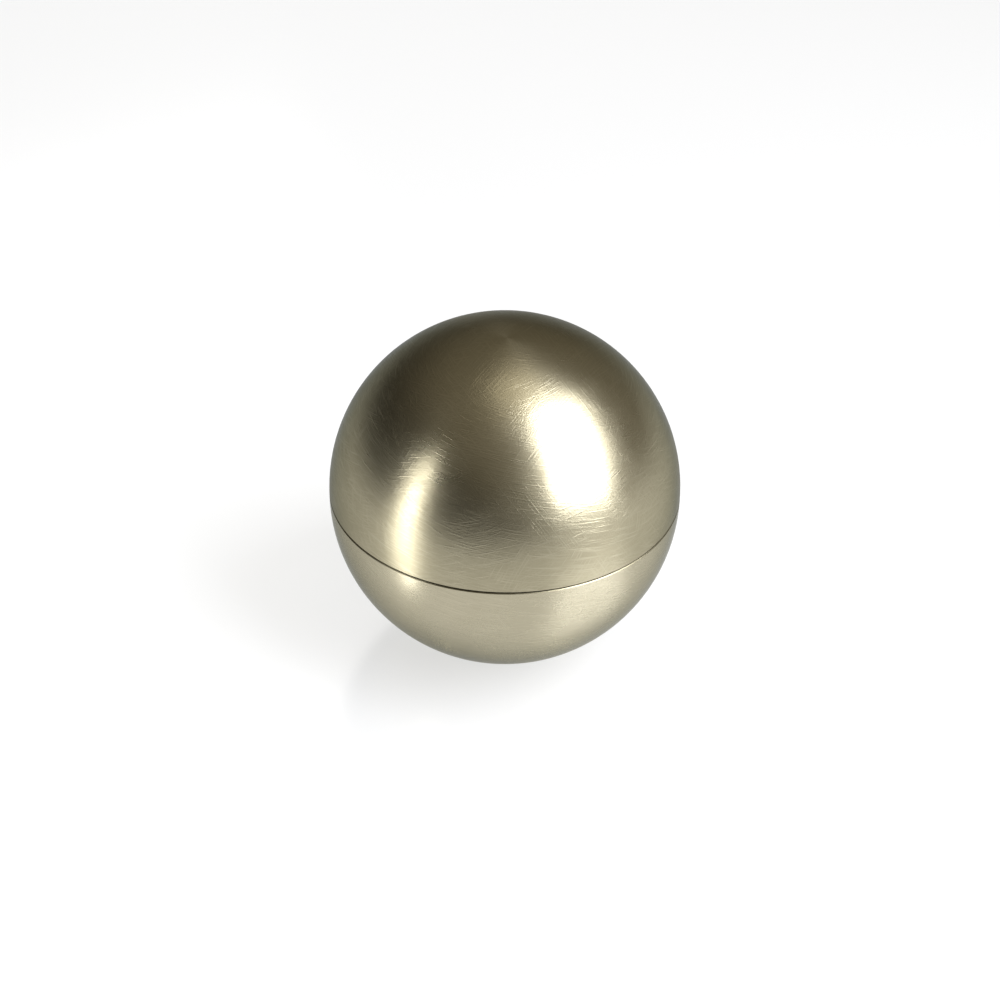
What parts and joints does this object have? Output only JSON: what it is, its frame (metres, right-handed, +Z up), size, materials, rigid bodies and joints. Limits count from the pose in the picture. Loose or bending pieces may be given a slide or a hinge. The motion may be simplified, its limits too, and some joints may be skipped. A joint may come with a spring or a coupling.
{
  "type": "brass puzzle ball",
  "caption": "Satin brass puzzle ball of two halves that turn on a bearing. A hard spin throws its lock pins outward, and the upper half then lifts off a grooved post.",
  "frame": {"origin": "middle of the flat foot's face, on the ball's axis", "axes": "+Z up along the axis that the halves turn about, and the seam's plane is level"},
  "size_m": [0.064, 0.064, 0.0636],
  "materials": {
    "satin_brass": "pale brass, hand-brushed satin",
    "turned_brass": "fine lathe-turned",
    "cage_brass": "machined",
    "post_steel": "fine turned stainless steel",
    "pin_steel": "ground stainless steel",
    "bearing_steel": "ground and polished",
    "screw_steel": "plain stainless steel"
  },
  "bodies": {
    "base": {"lower_half": "satin_brass", "bearing_outer_race": "bearing_steel", "bearing_retainer": "turned_brass", "retainer_screws": "screw_steel"},
    "ball_set": {"bearing_balls": "bearing_steel", "bearing_cage": "cage_brass"},
    "rotor": {"lock_post": "post_steel", "bearing_inner_race": "bearing_steel", "post_washer": "screw_steel", "post_screw": "screw_steel", "drive_dowels": "pin_steel"},
    "top": {"upper_half": "satin_brass", "pin_carrier": "turned_brass", "carrier_screws": "screw_steel", "bore_plug_1": "turned_brass", "bore_plug_2": "turned_brass", "bore_plug_3": "turned_brass", "bore_plug_4": "turned_brass"},
    "pin_1": {"lock_pin_1": "pin_steel"},
    "pin_2": {"lock_pin_2": "pin_steel"},
    "pin_3": {"lock_pin_3": "pin_steel"},
    "pin_4": {"lock_pin_4": "pin_steel"}
  },
  "joints": [
    {"name": "turn", "type": "hinge", "parent": "base", "child": "rotor", "pos_m": [0, 0, 0.025], "axis": [0, 0, 1], "continuous": true},
    {"name": "ball_set_turn", "type": "hinge", "parent": "base", "child": "ball_set", "pos_m": [0, 0, 0.025], "axis": [0, 0, 1], "continuous": true},
    {"name": "lift", "type": "slide", "parent": "rotor", "child": "top", "axis": [0, 0, 1], "range_m": [0, 0.03]},
    {"name": "pin_1_slide", "type": "slide", "parent": "top", "child": "pin_1", "axis": [-0.9976, 0, -0.0698], "range_m": [0, 0.00245]},
    {"name": "pin_2_slide", "type": "slide", "parent": "top", "child": "pin_2", "axis": [0, -0.9976, -0.0698], "range_m": [0, 0.00245]},
    {"name": "pin_3_slide", "type": "slide", "parent": "top", "child": "pin_3", "axis": [0.9976, 0, -0.0698], "range_m": [0, 0.00245]},
    {"name": "pin_4_slide", "type": "slide", "parent": "top", "child": "pin_4", "axis": [0, 0.9976, -0.0698], "range_m": [0, 0.00245]}
  ],
  "couplings": [
    {"joint": "ball_set_turn", "follows": "turn", "ratio": 0.3677}
  ]
}
